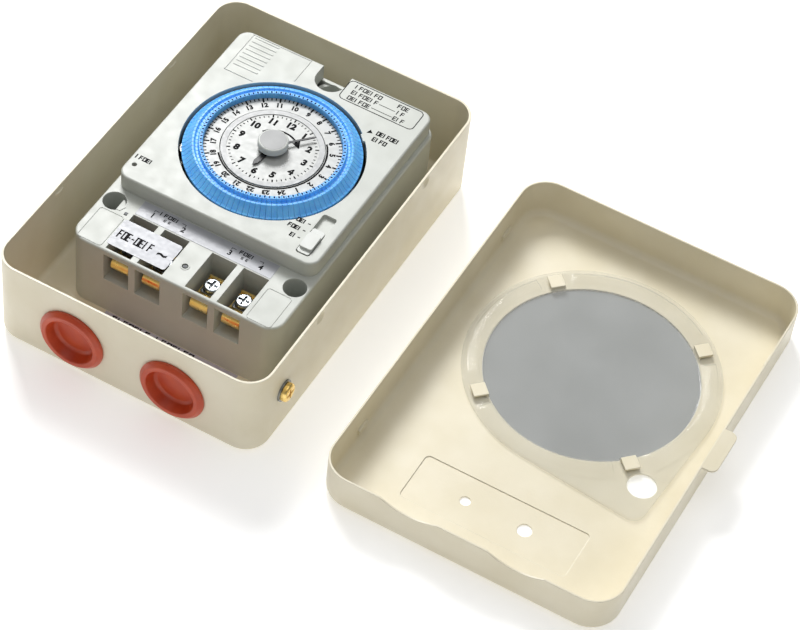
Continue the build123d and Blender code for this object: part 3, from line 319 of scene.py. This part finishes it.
gear_plastic = moulded("gear_plastic", linear(226, 220, 200), linear(234, 229, 212)).material
black_plastic = moulded("switch_black", linear(34, 34, 36), linear(44, 44, 46)).material
hand_black = moulded("hand_black", linear(22, 22, 24), linear(34, 34, 36), (0.35, 0.5)).material
red_plastic = moulded("plunger_red", linear(170, 40, 30), linear(186, 52, 38)).material
lamp_finish = moulded("lamp_red", linear(150, 26, 20), linear(172, 36, 28), (0.12, 0.2))
lamp_red = lamp_finish.set(Coat_Weight=0.6).material
board_green = moulded("board_green", linear(34, 104, 58), linear(42, 118, 68), (0.3, 0.45)).material
capacitor_sleeve = moulded("capacitor_sleeve", linear(30, 34, 52), linear(38, 42, 62), (0.2, 0.3)).material
battery_wrap = moulded("battery_wrap", linear(64, 128, 92), linear(74, 142, 104), (0.2, 0.3)).material
black_ink = ink("black_ink", linear(10, 10, 12))
# Grey for the holes in the terminal block: painted shade
painted_hole_shade = ink("painted_hole_shade", linear(120, 122, 124))

SLOT_LOOKS = {
    "box_paint": box_paint,
    "lid_paint": box_paint,
    "window": pane_clear,
    "grommet_rubber": rubber,
    "housing_plastic": housing,
    "base_plastic": base_plastic,
    "brass": brass,
    "zinc_steel": zinc,
    "label_paper": paper,
    "pin_blue": blue,
    "dial_white": dial_white,
    "bezel_grey": grey_band,
    "hand_black": hand_black,
    "knob_white": knob_plastic,
    "gear_plastic": gear_plastic,
    "plate_steel": steel,
    "motor_case": motor_steel,
    "switch_black": black_plastic,
    "plunger_red": red_plastic,
    "board_green": board_green,
    "lamp_red": lamp_red,
    "capacitor_sleeve": capacitor_sleeve,
    "battery_wrap": battery_wrap,
}
SLOT_OF = {part["node"]: part["material_slot"] for part in frame["record"]["subparts"]}
BODY_OF = {node: body for body, members in frame["record"]["behaviour"]["bodies"].items() for node in members}


def dress(thing, look):
    """Gives an object one material in place of any that it has."""
    thing.data.materials.clear()
    thing.data.materials.append(look)
    return thing


# ================================================================ mesh helpers
def from_bmesh(name, mesh, look):
    """A new object from a bmesh, which is freed, shaded smooth up to SMOOTH_ANGLE."""
    data = bpy.data.meshes.new(name)
    mesh.to_mesh(data)
    mesh.free()
    thing = bpy.data.objects.new(name, data)
    bpy.context.scene.collection.objects.link(thing)
    dress(thing, look)
    data.shade_smooth()
    data.set_sharp_from_angle(angle=radians(SMOOTH_ANGLE))
    return thing


def bake_modifiers(thing):
    """Replaces an object's mesh with what its modifiers make of it."""
    bpy.context.view_layer.update()
    evaluated = thing.evaluated_get(bpy.context.evaluated_depsgraph_get())
    data = bpy.data.meshes.new_from_object(evaluated)
    thing.modifiers.clear()
    thing.data = data
    return thing


def refined(node, width, segments=2):
    """A finer copy of a CAD node, which it replaces.

    Its faces are joined back up, and its edges are rounded by width (mm) unless that is 0.
    """
    mesh = bmesh.new()
    mesh.from_mesh(nodes[node].data)
    bmesh.ops.remove_doubles(mesh, verts=mesh.verts, dist=2e-6)
    if width:
        bmesh.ops.dissolve_limit(mesh, angle_limit=radians(0.6), verts=mesh.verts, edges=mesh.edges)
    thing = from_bmesh("fine_" + node, mesh, SLOT_LOOKS[SLOT_OF[node]])
    if width:
        bevel = thing.modifiers.new("round", "BEVEL")
        bevel.limit_method = "ANGLE"
        bevel.angle_limit = radians(SHARP_ANGLE)
        bevel.width = width * MM
        bevel.segments = segments
        bevel.use_clamp_overlap = True
    flat = thing.modifiers.new("flat", "WEIGHTED_NORMAL")
    flat.weight = 100
    flat.keep_sharp = True
    bake_modifiers(thing)
    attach(thing, BODY_OF[node])
    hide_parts(node)
    return thing


class Marks:
    """Many thin printed or moulded shapes, gathered into one mesh. Lengths are in millimetres."""

    def __init__(self, name, bottom, thickness=PRINT):
        self.name = name
        self.bottom = bottom
        self.top = bottom + thickness
        self.mesh = bmesh.new()

    def outline(self, points):
        """A flat prism over a convex outline, anticlockwise."""
        base = [self.mesh.verts.new((x * MM, y * MM, self.bottom * MM)) for x, y in points]
        roof = [self.mesh.verts.new((x * MM, y * MM, self.top * MM)) for x, y in points]
        self.mesh.faces.new(reversed(base))
        self.mesh.faces.new(roof)
        for a in range(len(points)):
            b = (a + 1) % len(points)
            self.mesh.faces.new((base[a], base[b], roof[b], roof[a]))
        return self

    def bar(self, start, end, width):
        """A straight stroke from start to end."""
        (x0, y0), (x1, y1) = start, end
        length = sqrt((x1 - x0) ** 2 + (y1 - y0) ** 2)
        nx, ny = -(y1 - y0) / length * width / 2, (x1 - x0) / length * width / 2
        return self.outline([(x0 - nx, y0 - ny), (x1 - nx, y1 - ny), (x1 + nx, y1 + ny), (x0 + nx, y0 + ny)])

    def sector(self, centre, inner, outer, start, end, step=4.0):
        """A ring sector of short prisms; angles in degrees, anticlockwise from +X."""
        count = max(1, round(abs(end - start) / step))
        low, high = self.bottom, self.top
        full = abs(abs(end - start) - 360) < 1e-6
        rings = []
        for k in range(count if full else count + 1):
            angle = radians(start + (end - start) * k / count)
            row = []
            for radius, z in ((inner, low), (outer, low), (outer, high), (inner, high)):
                place = (centre[0] + radius * cos(angle), centre[1] + radius * sin(angle), z)
                row.append(self.mesh.verts.new(tuple(c * MM for c in place)))
            rings.append(row)
        for k in range(count):
            a, b = rings[k], rings[(k + 1) % len(rings)]
            for i in range(4):
                j = (i + 1) % 4
                self.mesh.faces.new((a[i], a[j], b[j], b[i]))
        if not full:
            self.mesh.faces.new(reversed(rings[0]))
            self.mesh.faces.new(rings[-1])
        return self

    def oval(self, place, along, across, turn, sides=12):
        """A flat ellipse; turn is the way of its first half-axis, anticlockwise from +X."""
        c, s = cos(radians(turn)), sin(radians(turn))
        points = []
        for k in range(sides):
            u = along * cos(2 * pi * k / sides)
            v = across * sin(2 * pi * k / sides)
            points.append((place[0] + u * c - v * s, place[1] + u * s + v * c))
        return self.outline(points)

    def dummy_word(self, place, letters, height, pitch, stroke, seed):
        """Letter-like strokes with no meaning, in place of a word. Returns the x where they end.

        A stroke can happen to look like F, D, E or I.
        """
        x, y = place
        wide = pitch * LETTER_SHARE
        high, low = y + height / 2, y - height / 2
        for k in range(letters):
            left = x + k * pitch + stroke / 2
            kind = (k * 5 + seed * 3) % 4
            self.bar((left, low), (left, high), stroke)
            if kind != 3:
                self.bar((left, high - stroke / 2), (left + wide, high - stroke / 2), stroke)
            if kind in (0, 2):
                self.bar((left, y), (left + wide * 0.9, y), stroke)
            if kind in (1, 2):
                self.bar((left, low + stroke / 2), (left + wide, low + stroke / 2), stroke)
            if kind == 1:
                self.bar((left + wide, low), (left + wide, high), stroke)
        return x + letters * pitch

    def rounded_frame(self, low, high, corner, width):
        """A line that follows a rounded rectangle."""
        (x0, y0), (x1, y1) = low, high
        self.bar((x0 + corner, y0), (x1 - corner, y0), width)
        self.bar((x0 + corner, y1), (x1 - corner, y1), width)
        self.bar((x0, y0 + corner), (x0, y1 - corner), width)
        self.bar((x1, y0 + corner), (x1, y1 - corner), width)
        spots = ((x1 - corner, y1 - corner, 0), (x0 + corner, y1 - corner, 90))
        spots += ((x0 + corner, y0 + corner, 180), (x1 - corner, y0 + corner, 270))
        for x, y, start in spots:
            self.sector((x, y), corner - width / 2, corner + width / 2, start, start + 90, step=15)
        return self

    def text(self, words, place, height, turn=0.0, bold=0.0):
        """Figures in the plain built-in font, centred on a place and turned anticlockwise."""
        curve = bpy.data.curves.new("figure", "FONT")
        curve.body = words
        curve.size = height * FONT_SHARE * MM
        curve.align_x = "CENTER"
        curve.align_y = "CENTER"
        curve.offset = bold * MM
        curve.resolution_u = 3
        curve.extrude = (self.top - self.bottom) / 2 * MM
        holder = bpy.data.objects.new("figure", curve)
        bpy.context.scene.collection.objects.link(holder)
        bpy.context.view_layer.update()
        data = bpy.data.meshes.new_from_object(holder.evaluated_get(bpy.context.evaluated_depsgraph_get()))
        level = (self.top + self.bottom) / 2
        move = Matrix.Translation((place[0] * MM, place[1] * MM, level * MM))
        data.transform(move @ Matrix.Rotation(radians(turn), 4, "Z"))
        self.mesh.from_mesh(data)
        bpy.data.objects.remove(holder)
        bpy.data.curves.remove(curve)
        bpy.data.meshes.remove(data)
        return self

    def done(self, look, body):
        """Makes the object and sets it on its body."""
        bmesh.ops.recalc_face_normals(self.mesh, faces=self.mesh.faces)
        thing = from_bmesh(self.name, self.mesh, look)
        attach(thing, body)
        return thing


def polar(radius, clockwise):
    """Place at a radius and an angle clockwise from +Y about the dial's centre."""
    angle = radians(clockwise)
    return (DIAL_X + radius * sin(angle), DIAL_Y + radius * cos(angle))


# ================================================================ each CAD node's own material
for node, thing in nodes.items():
    dress(thing, SLOT_LOOKS[SLOT_OF[node]])

# ================================================================ finer copies of the pieces that show
# How far each piece's edges are rounded, in millimetres
ROUNDING = {
    "enclosure_base": 0.35,
    "lid_shell": 0.3,
    "window_pane": 0,
    "module_body": 0.3,
    "upper_cover": 0.3,
    "dial_plate_24h": 0.12,
    "tripper_pins": 0.1,
    "tripper_pin_sample": 0.1,
    "setting_knob": 0.25,
    "selector_slider": 0.35,
    "cable_grommet_left": 0.3,
    "cable_grommet_right": 0.3,
    "terminal_washers": 0.12,
    "earth_screw": 0.2,
    "earth_washers": 0.1,
    "hour_hand": 0.06,
    "minute_hand": 0.06,
    "trip_switch_body": 0.25,
    "circuit_board": 0.12,
    "selector_frame": 0.25,
    "capacitor": 0.3,
    "backup_battery": 0.3,
    "motor_body": 0.4,
}
for number in range(1, 5):
    ROUNDING[f"terminal_plate_{number}"] = 0.12
    ROUNDING[f"terminal_screw_{number}"] = 0.15
ONE_SEGMENT = ("tripper_pins", "tripper_pin_sample")
fine = {}
for node, width in ROUNDING.items():
    fine[node] = refined(node, width, segments=1 if node in ONE_SEGMENT else 2)

# The pane stands clear of the shell, and its underside is grey: painted shade of the shadowed floor seen
# through the clear pane
pane = fine["window_pane"]
pane.data.materials.append(pane_painted_shade)
pane.data.transform(Matrix.Translation((0, 0, PANE_LIFT * MM)))
pane_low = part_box("window_pane")[0].z
for face in pane.data.polygons:
    if face.center.z < pane_low + PANE_UNDERSIDE * MM:
        face.material_index = 1

# ================================================================ printing on the 24-hour dial
HOURS = 24
HOUR_TURN = 360 / HOURS
QUARTERS = 4
ZERO_HOUR = 141.0
NIGHT_HOUR = 18
TICK_OUTER = 27.3
# Inner radius and width of a tick
HOUR_TICK = (25.0, 0.75)
QUARTER_TICK = (26.0, 0.48)
FIGURE_RADIUS = 23.4
FIGURE_HEIGHT = 2.2
NIGHT_BAND = (21.1, 21.85)
dial_marks = Marks("dial_24h_print", FACE_TOP)
for quarter in range(HOURS * QUARTERS):
    turn = ZERO_HOUR - quarter * HOUR_TURN / QUARTERS
    inner, width = QUARTER_TICK if quarter % QUARTERS else HOUR_TICK
    dial_marks.bar(polar(inner, turn), polar(TICK_OUTER, turn), width)
for hour in range(1, HOURS + 1):
    turn = ZERO_HOUR - HOUR_TURN * hour
    dial_marks.text(str(hour), polar(FIGURE_RADIUS, turn), FIGURE_HEIGHT, turn=-turn, bold=0.17)
night_start = 90 - (ZERO_HOUR - HOUR_TURN * NIGHT_HOUR)
dial_marks.sector(DIAL_CENTRE, *NIGHT_BAND, night_start, night_start + 180)
dial_marks.done(black_ink, "dial")

# ================================================================ dark eye on each blue pin's land
PIN_COUNT = 96
SAMPLE_PIN = 24
PIN_PHASE = 0.48
EYE_RADIUS = 28.2
EYE_HALVES = (0.55, 0.36)
pin_eyes = Marks("pin_eyes", top_of("tripper_pins"))
sample_eye = Marks("sample_pin_eye", top_of("tripper_pin_sample"))
for pin in range(PIN_COUNT):
    turn = 90 - (pin + PIN_PHASE) * 360 / PIN_COUNT
    eyes = sample_eye if pin == SAMPLE_PIN else pin_eyes
    eyes.oval(polar(EYE_RADIUS, turn), *EYE_HALVES, 90 - turn)
pin_eyes.done(dot_ink, "dial")
sample_eye.done(dot_ink, "sample_pin")

# ================================================================ printing on the clock face
MINUTES = 60
MINUTE_TURN = 360 / MINUTES
FACE_TICK_INNER = 16.7
# Outer radius and width of a tick
FIVE_TICK = (18.2, 0.6)
MINUTE_TICK = (17.6, 0.4)
FACE_FIGURE_RADIUS = 14.2
FACE_FIGURE_HEIGHT = 3.0
ARROW_BAND = (9.4, 10.25)
ARROW_SPAN = (50, 145)
face_marks = Marks("clock_face_print", FACE_TOP)
for minute in range(MINUTES):
    turn = minute * MINUTE_TURN
    outer, width = MINUTE_TICK if minute % 5 else FIVE_TICK
    face_marks.bar(polar(FACE_TICK_INNER, turn), polar(outer, turn), width)
for hour in range(1, 13):
    face_marks.text(str(hour), polar(FACE_FIGURE_RADIUS, hour * 30), FACE_FIGURE_HEIGHT, bold=0.26)
face_marks.sector(DIAL_CENTRE, *ARROW_BAND, *ARROW_SPAN)
arrow_head = [polar(10.2, 59), polar(11.6, 38), polar(8.2, 38)]
face_marks.outline(arrow_head)
face_marks.done(black_ink, "case")

CAP_RADIUS = 5.3
cap_marks = Marks("knob_cap", top_of("setting_knob"))
cap_marks.oval(DIAL_CENTRE, CAP_RADIUS, CAP_RADIUS, 0, sides=48)
cap_marks.done(knob_grey, "minute_work")

# ================================================================ printing on the upper cover
TABLE_LOW = (8.3, 59.2)
TABLE_HIGH = (42.0, 70.4)
TABLE_LEFT = 11.6
# Height, pitch and stroke of the table's letters
TABLE_STYLE = (2.3, 1.75, 0.42)
# Height of each row, letters on the left, end of the line between, start and letters on the right
TABLE_ROWS = (
    (68.0, 7, None, 31.0, 3),
    (64.6, 7, 31.4, 32.4, 2),
    (61.2, 6, 32.0, 32.4, 3),
)
# Place, letters, height, pitch, stroke and seed of each word around the dial
COVER_WORDS = (
    ((31.2, 50.4), 7, 2.4, 1.5, 0.5, 3),
    ((31.2, 46.8), 4, 2.4, 1.6, 0.5, 6),
    ((-41.4, -12.1), 5, 2.3, 1.6, 0.5, 1),
)
# Height and letters of the word at each place of the slider
SLIDER_WORDS = ((-5.9, 3), (-9.9, 4), (-14.0, 2))
SLIDER_STYLE = (2.2, 1.5, 0.5)
SLIDER_WORD_END = 32.4
cover_marks = Marks("cover_print", COVER_TOP)
cover_marks.rounded_frame(TABLE_LOW, TABLE_HIGH, 2.0, 0.38)
for row, (y, left_letters, line_end, right_start, right_letters) in enumerate(TABLE_ROWS):
    x = cover_marks.dummy_word((TABLE_LEFT, y), left_letters, *TABLE_STYLE, 5 + row)
    if line_end:
        cover_marks.bar((x + 0.4, y), (line_end, y), 0.28)
    cover_marks.dummy_word((right_start, y), right_letters, *TABLE_STYLE, 8 + row)
time_pointer = [polar(38.7, 42.5), polar(40.9, 41.0), polar(40.9, 44.0)]
cover_marks.outline(time_pointer)
for word in COVER_WORDS:
    cover_marks.dummy_word(*word)
for y, letters in SLIDER_WORDS:
    start = (SLIDER_WORD_END - 1.55 * letters, y)
    cover_marks.dummy_word(start, letters, *SLIDER_STYLE, letters)
    cover_marks.bar((32.7, y), (33.8, y), 0.45)
cover_marks.done(black_ink, "case")

PANEL_LEFT = -37.6
PANEL_RIGHT = -10.6
PANEL_LOW = 47.6
PANEL_HIGH = 70.6
RIB_COUNT = 8
RIB_LOW = 52.3
RIB_PITCH = 2.45
# Both open sides stop short of the dial well
panel_lines = (
    ((PANEL_LEFT, PANEL_LOW), (PANEL_LEFT, PANEL_HIGH)),
    ((PANEL_LEFT, PANEL_HIGH), (PANEL_RIGHT, PANEL_HIGH)),
    ((PANEL_RIGHT, 57.0), (PANEL_RIGHT, PANEL_HIGH)),
    ((PANEL_LEFT, PANEL_LOW), (-24.5, PANEL_LOW)),
)
cover_relief = Marks("cover_relief", COVER_TOP, 0.16)
for start, end in panel_lines:
    cover_relief.bar(start, end, 0.45)
for rib in range(RIB_COUNT):
    y = RIB_LOW + rib * RIB_PITCH
    cover_relief.bar((-36.2, y), (-25.0, y), 0.75)
cover_relief.done(housing, "case")

# ================================================================ printing and relief on the terminal block
TERMINAL_NUMBERS = ((-22.6, 1), (-8.8, 2), (12.2, 3), (26.0, 4))
NUMBER_Y = -29.6
SIGN_Y = -29.4
# Left end, right end and letters of the bracket over each pair of terminals
PAIR_BRACKETS = ((-23.0, -9.0, 5), (11.8, 25.8, 4))
PAIR_WORD_Y = -27.0
BRACKET_Y = -26.8
BRACKET_GAP = 5.2
strip_marks = Marks("marking_strip_print", top_of("marking_strip"))
for x, number in TERMINAL_NUMBERS:
    strip_marks.text(str(number), (x, NUMBER_Y), 2.6, bold=0.1)
for left, right, letters in PAIR_BRACKETS:
    middle = (left + right) / 2
    strip_marks.dummy_word((middle - 0.9 * letters, PAIR_WORD_Y), letters, 1.9, 1.8, 0.4, letters)
    for start, end in ((left, middle - BRACKET_GAP), (middle + BRACKET_GAP, right)):
        strip_marks.bar((start, BRACKET_Y), (end, BRACKET_Y), 0.22)
    for x in (left, right):
        strip_marks.bar((x, BRACKET_Y - 1.0), (x, BRACKET_Y + 0.1), 0.22)
    for x in (middle - 1.6, middle + 0.4):
        strip_marks.dummy_word((x, SIGN_Y), 1, 1.3, 1.2, 0.28, 2)
strip_marks.done(black_ink, "case")

SUPPLY_Y = -44.2
supply_marks = Marks("supply_label_print", top_of("supply_label"))
supply_marks.dummy_word((-28.8, SUPPLY_Y), 3, 4.2, 1.95, 0.62, 4)
supply_marks.bar((-22.8, SUPPLY_Y), (-21.6, SUPPLY_Y), 0.6)
supply_marks.dummy_word((-21.2, SUPPLY_Y), 4, 4.2, 2.0, 0.62, 7)
supply_marks.text("~", (-8.8, -44.6), 5.0, bold=0.22)
supply_marks.done(black_ink, "case")

CAP_FRAMES = ((-41.8, -31.0), (33.6, 44.2))
CAP_FRAME_LOW = -53.4
CAP_FRAME_HIGH = -36.4
TEST_HOLE = (1.5, -44.6)
block_relief = Marks("block_relief", BLOCK_TOP, 0.14)
for left, right in CAP_FRAMES:
    block_relief.rounded_frame((left, CAP_FRAME_LOW), (right, CAP_FRAME_HIGH), 1.2, 0.3)
block_relief.sector(TEST_HOLE, 1.3, 1.9, 0, 360, step=15)
corner_rib = [(-36.2, -34.4), (-34.6, -34.4), (-33.4, -31.6), (-35.6, -28.8), (-36.2, -28.8)]
block_relief.outline(corner_rib)
block_relief.done(housing, "case")
# Grey ovals in the test hole and the small round hole are painted shade in their depth
hole_shade_marks = Marks("block_hole_shade", BLOCK_TOP)
hole_shade_marks.oval(TEST_HOLE, 0.95, 0.7, 30)
hole_shade_marks.oval((-31.8, -34.2), 0.7, 0.7, 0, sides=8)
hole_shade_marks.done(painted_hole_shade, "case")

# ================================================================ label on the box floor
DIAGRAM_LOW = (-25.5, -80.0)
DIAGRAM_HIGH = (31.0, -59.5)
DIAGRAM_SPLIT = 3.0
TITLE_Y = -56.7
TITLE_STYLE = (2.4, 2.5, 0.55)
ROW_HIGH = -63.0
ROW_PITCH = 4.5
ROW_STYLE = (1.6, 1.3, 0.25)
dress(nodes["circuit_label"], lilac_film)
floor_marks = Marks("circuit_label_print", top_of("circuit_label"))
floor_marks.dummy_word((-23.6, TITLE_Y), 7, *TITLE_STYLE, 2)
floor_marks.dummy_word((-3.6, TITLE_Y), 7, *TITLE_STYLE, 5)
floor_marks.rounded_frame(DIAGRAM_LOW, DIAGRAM_HIGH, 0.6, 0.25)
floor_marks.bar((DIAGRAM_SPLIT, DIAGRAM_LOW[1]), (DIAGRAM_SPLIT, DIAGRAM_HIGH[1]), 0.22)
for row in range(4):
    y = ROW_HIGH - ROW_PITCH * row
    floor_marks.dummy_word((-24.0, y), 14 - row, *ROW_STYLE, row)
    floor_marks.dummy_word((DIAGRAM_SPLIT + 2.0, y), 12 + row, *ROW_STYLE, row + 3)
floor_marks.done(black_ink, "case")

# ================================================================ floor, light and camera
WHITE = (1.0, 1.0, 1.0, 1.0)
FLOOR_REACH = 4.0
FLOOR_GLOW = 0.35
WORLD_GLOW = 0.24
floor_mesh = bmesh.new()
bmesh.ops.create_grid(floor_mesh, x_segments=1, y_segments=1, size=FLOOR_REACH)
floor_finish = Finish("floor_white", linear(250, 250, 250), 0.6)
floor_finish.tints(linear(249, 249, 249), linear(252, 252, 252), scale=4)
floor_finish.set(Emission_Color=WHITE, Emission_Strength=FLOOR_GLOW)
floor = from_bmesh("floor", floor_mesh, floor_finish.material)
floor.location.z = -FLOOR_DROP * MM


def area_light(name, place, aim, size, power):
    """A rectangular light; place and size in metres, power in watts."""
    data = bpy.data.lights.new(name, "AREA")
    data.shape = "RECTANGLE"
    data.size, data.size_y = size
    data.energy = power
    lamp = bpy.data.objects.new(name, data)
    bpy.context.scene.collection.objects.link(lamp)
    lamp.location = place
    lamp.rotation_euler = (Vector(aim) - Vector(place)).to_track_quat("-Z", "Y").to_euler()


MIDDLE = (0.08, 0.0, 0.02)
# Name, place, size and power of each light
LIGHTS = (
    ("key", (-0.6, 0.7, 0.95), (0.5, 0.5), 17),
    ("top", (0.1, 0.1, 1.6), (1.4, 1.4), 7),
    ("low_front", (0.3, -1.4, 0.22), (1.4, 0.3), 1.6),
    ("low_right", (1.4, -0.3, 0.22), (0.3, 1.2), 0.6),
)
for name, place, size, power in LIGHTS:
    area_light(name, place, MIDDLE, size, power)

world = bpy.data.worlds.new("studio")
bpy.context.scene.world = world
world.use_nodes = True
background = world.node_tree.nodes["Background"]
background.inputs["Color"].default_value = WHITE
background.inputs["Strength"].default_value = WORLD_GLOW

SENSOR_WIDTH = 36.0
camera_data = bpy.data.cameras.new("camera")
camera_data.lens = CAMERA_LENS
camera_data.sensor_width = SENSOR_WIDTH
camera_data.shift_x, camera_data.shift_y = CAMERA_SHIFT
camera_data.clip_start = 0.05
camera = bpy.data.objects.new("camera", camera_data)
bpy.context.scene.collection.objects.link(camera)
toward = (Vector(CAMERA_AIM) - Vector(CAMERA_PLACE)).to_track_quat("-Z", "Y").to_matrix().to_4x4()
roll = Matrix.Rotation(radians(CAMERA_ROLL), 4, "Z")
camera.matrix_world = Matrix.Translation(CAMERA_PLACE) @ toward @ roll
bpy.context.scene.camera = camera
bpy.context.scene.view_settings.view_transform = "Standard"
